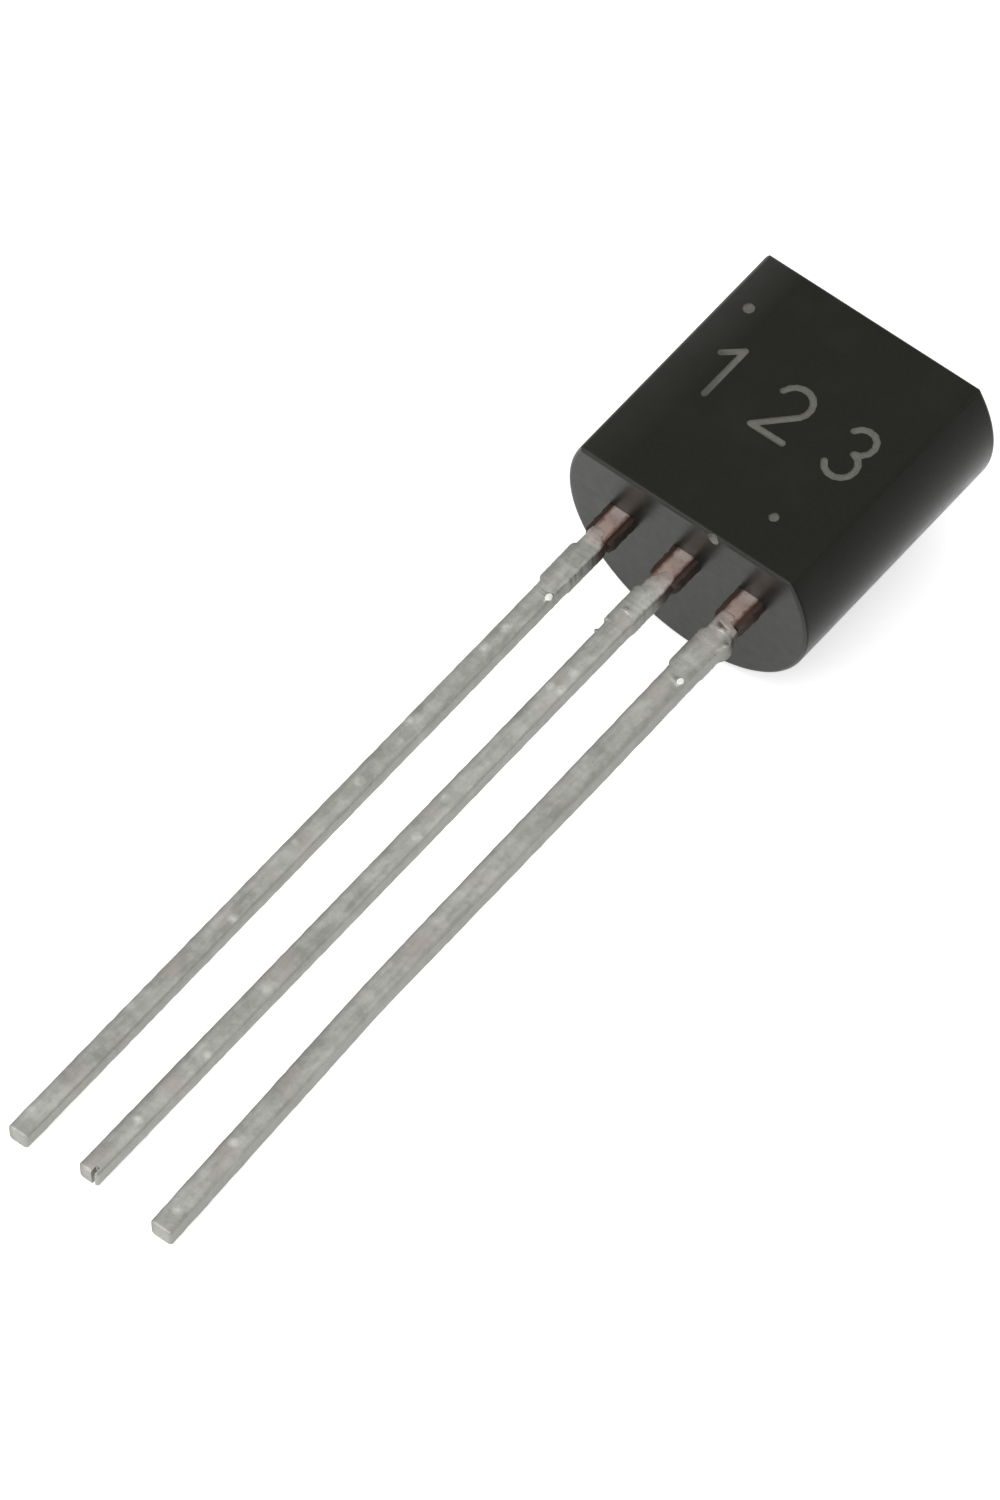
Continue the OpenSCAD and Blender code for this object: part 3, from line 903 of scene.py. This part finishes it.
def run(number, y):
    """How much more solder ran down the emitter lead's right edge. It froze with a drop at its top,
    and thins out towards the tip."""
    if number < 2:
        return 0
    drop = DROP * max(0, 1 - ((y - DROP_Y) / DROP_H) ** 2)
    return drop + 0.04 + 0.045 * min(max(0, (y + 9.5) / 5.5), 1)


def bulge(y, top, fade):
    """1 along a tie bar stub and 0 away from it, with ends that take up fade millimetres."""
    inside = min(top - y, y - (top - STUB_H)) / fade + 1.3
    return min(max(inside, 0), 1)


print("emitter tip bent out by", round(outward(2, BENT_TIP), 3), "mm")

# %% [markdown]
# A coat is described ring by ring, from its tip up. The rings lie close where the outline changes, at
# the tip, the stubs and the neck, and wide apart between. The last ones are narrow, because a tongue
# of solder crept up the neck's flat sides.

# %% The rings of a coat
WOBBLE, RIPPLE = 0.004, 0.015      # how unevenly it froze, sideways in mm and as a share of its depth
FINE_FROM, FINE_STEP, STEP = -2, 0.03, 0.12
TONGUE_FROM, TONGUE_TOP = -0.61, -0.43
TONGUE_ASIDE = (-0.045, 0.04, -0.03)
TIP_ROUND = 0.04


def ring_heights(tip):
    """The heights of a coat's rings, from the tip up."""
    heights = [tip, tip + 0.004, tip + 0.01, tip + 0.02, tip + 0.03, tip + 0.05]
    while heights[-1] < -0.75:
        heights.append(heights[-1] + (FINE_STEP if heights[-1] > FINE_FROM else STEP))
    return heights + [-0.66, -0.6, -0.55, -0.5, -0.46, -0.44, TONGUE_TOP]


def ring(number, y, tip, shake):
    """How far a coat reaches to the left and right of its lead's middle at a height, and its
    thickness as a share of the full one."""
    wobble = WOBBLE * shake.uniform(-1, 1)
    left = COAT_W / 2 + STUB_LEFT[number] * bulge(y, -0.95, 0.05) + wobble
    right = COAT_W / 2 + STUB_RIGHT[number] * bulge(y, -0.75, 0.09) + run(number, y) + wobble
    if y > TONGUE_FROM:
        half = 0.1 + 0.05 * min(1, (TONGUE_TOP - y) / 0.05) + wobble
        left, right = half - TONGUE_ASIDE[number], half + TONGUE_ASIDE[number]
    thick = 1 + RIPPLE * shake.uniform(-1, 1) - 0.13 * max(0, 1 - (TONGUE_TOP - y) / 0.2)
    end = max(0, 1 - (y - tip) / TIP_ROUND) ** 2
    return left - 0.03 * end, right - 0.03 * end, thick - 0.16 * end


print("rings:", len(ring_heights(BENT_TIP)))

# %% [markdown]
# A coat could be the lead blown up a little, but that would be even all round. It is swept by hand
# instead: a rounded outline is extruded up the lead, and each new ring is moved with the lead and
# stretched to the width that the coat has there.


# %% Sweep the coats
def sweep_coat(number, lead):
    """One coat as a full bar with its stubs, in the body's own axes."""
    tip = own_box(lead + "_tin")[0].y / MM
    shake = random.Random(number + 11)
    coat = None
    for y in ring_heights(tip):
        left, right, thick = ring(number, y, tip, shake)
        middle = LEAD_X[number] + outward(number, y) + (right - left) / 2
        if coat is None:
            bpy.ops.mesh.primitive_plane_add(
                size=1, location=(middle * MM, y * MM, 0), rotation=(math.radians(90), 0, 0))
            bpy.context.object.scale = ((left + right) * MM, COAT_T * thick * MM, 1)
            coat = start(lead + "_solder", solder)
            pick(coat, "VERT", everywhere)
            bpy.ops.mesh.bevel(offset=COAT_CORNER * MM, segments=4, affect="VERTICES")
            pick(coat, "FACE", everywhere)
        else:
            bpy.ops.mesh.extrude_region_move(TRANSFORM_OT_translate={
                "value": ((middle - last[0]) * MM, (y - last[1]) * MM, 0)})
            bpy.ops.transform.resize(
                value=((left + right) / last[2], 1, thick / last[3]),
                center_override=(middle * MM, 0, 0))
        last = middle, y, left + right, thick
    bpy.ops.mesh.select_all(action="SELECT")
    bpy.ops.mesh.normals_make_consistent(inside=False)
    select_only(coat)
    return coat


coats = {lead: sweep_coat(number, lead) for number, lead in enumerate(LEADS)}
for coat in coats.values():
    print(size_of(coat))

# %% [markdown]
# Solder and flux froze as they ran and left beads. Pulled points would make pimples, so each bead is
# a small flattened ball, shaken and joined to its bar. The larger ones are white flux. The nick that
# the cutter left in the base lead's end is cut out.

# %% Beads and nick
BEAD_Z = 0.163
BEAD_SHAPE = (1, 1.2, 0.4)
FLUX_FROM = 0.04
BEADS = (
    ("collector", -1.13, -1.95, 0.06), ("base", -0.17, -1.7, 0.035), ("base", -0.17, -1.98, 0.03),
    ("base", -0.03, -1.4, 0.04), ("emitter", 1.44, -1.92, 0.055), ("emitter", 1.35, -0.78, 0.04),
    ("emitter", 1.57, -0.98, 0.04))
NICK_X, NICK_Y, NICK_W = 0.0967, -14.6, 0.07
for lead, x, y, radius in BEADS:
    bpy.ops.mesh.primitive_ico_sphere_add(
        subdivisions=3, radius=radius * MM, location=(x * MM, y * MM, BEAD_Z * MM))
    bpy.context.object.scale = BEAD_SHAPE
    bead = start("bead", flux if radius > FLUX_FROM else solder)
    pick(bead, "VERT", everywhere)
    bpy.ops.transform.vertex_random(offset=radius * 0.1 * MM, seed=int(-100 * y))
    select_only(bead)
    combine(coats[lead], bead, "UNION")
bpy.ops.mesh.primitive_cube_add(
    size=1, location=(NICK_X * MM, NICK_Y * MM, 0), scale=(NICK_W * MM, 1 * MM, 1 * MM))
combine(coats["base"], start("nick", solder), "DIFFERENCE")
print("beads:", len(BEADS))

# %% [markdown]
# Solder wets the copper and lies on it everywhere. So each bar is laid down and hollowed by its own
# lead, which leaves a thin shell round it without a gap.

# %% Hollow the coats
for lead in LEADS:
    lay_down(coats[lead])
    combine(coats[lead], twin(leads[lead], solder), "DIFFERENCE")
    smooth(coats[lead], 40)
    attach(coats[lead], "root")
    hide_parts(lead + "_tin")
    print(size_of(coats[lead]))

# %% [markdown]
# ## Chip, bond and wires
# These lie inside the epoxy, and no view shows them, so they keep their CAD meshes. They still get
# plain but true finishes, for whoever takes the part apart: sawn silicon, a grey metal bond, and
# drawn gold wire. The three differ in colour, gloss and grain only, so one function makes them all.


# %% Finishes of the hidden parts
def metal_like(name, colour, other, metallic, roughness, scale):
    """A surface whose colour and grain vary in clouds, scale of them to the millimetre."""
    material, tree, shader = new_material(name)
    own = own_mm(tree)
    pattern = noise(tree, own, scale, 3)
    colours = blend_colour(tree, remap(tree, pattern, 0.35, 0.65, 0, 1), colour, other)
    plug(tree, colours, shader.inputs["Base Color"])
    rough = remap(tree, pattern, 0.3, 0.7, roughness - 0.06, roughness + 0.06)
    plug(tree, rough, shader.inputs["Roughness"])
    plug(tree, bump(tree, noise(tree, own, 6 * scale, 2), 0.002), shader.inputs["Normal"])
    shader.inputs["Metallic"].default_value = metallic
    return material


silicon = metal_like("silicon", (0.21, 0.22, 0.27), (0.3, 0.31, 0.36), 0.4, 0.2, 8)
die_bond = metal_like("die_bond", (0.62, 0.6, 0.55), (0.74, 0.73, 0.68), 1, 0.45, 14)
gold = metal_like("gold", (0.83, 0.58, 0.2), (0.9, 0.66, 0.28), 1, 0.25, 30)
for node, material in zip(INSIDE, (silicon, die_bond, gold, gold)):
    for slot in frame["nodes"][node].material_slots:
        slot.material = material
print("finished:", INSIDE)

# %% [markdown]
# ## Hand over
# The body came out of its booleans with round_epoxy on the back and both ends. The mould's end walls
# and its flat wall were ground differently, so they shine differently. Marking faces by hand would
# be lost with the next cut, so they are told apart by where they lie and which way they face.

# %% Finish the body
END_BAND = 0.06      # how near to an end a face counts as the end's, in mm
END_FACING = 0.6
FLAT_FACING = 0.5
body.data.materials.append(end_epoxy)
end_slot = len(body.data.materials) - 1
slots = {material: number for number, material in enumerate(body.data.materials)}
to_own = BODY_AXES.inverted()
for polygon in body.data.polygons:
    middle = to_own @ polygon.center / MM
    facing = to_own.to_3x3() @ polygon.normal
    at_end = min(abs(middle.y), abs(middle.y - BODY_H / MM)) < END_BAND
    if polygon.material_index in (slots[round_epoxy], slots[moulded_epoxy]):
        if abs(facing.y) > END_FACING and at_end:
            polygon.material_index = end_slot
        elif facing.z > FLAT_FACING:
            polygon.material_index = slots[moulded_epoxy]
smooth(body, 35)
print([slot.material.name for slot in body.material_slots])

# %% [markdown]
# The hidden nodes stand for themselves.

# %% Give the pieces their nodes
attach(body, "root")
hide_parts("body")
for lead in LEADS:
    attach(leads[lead], "root")
    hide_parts(lead + "_lead")
print("new pieces:", 1 + len(leads) + len(coats))

# %% [markdown]

# %% Finish
print("finished")
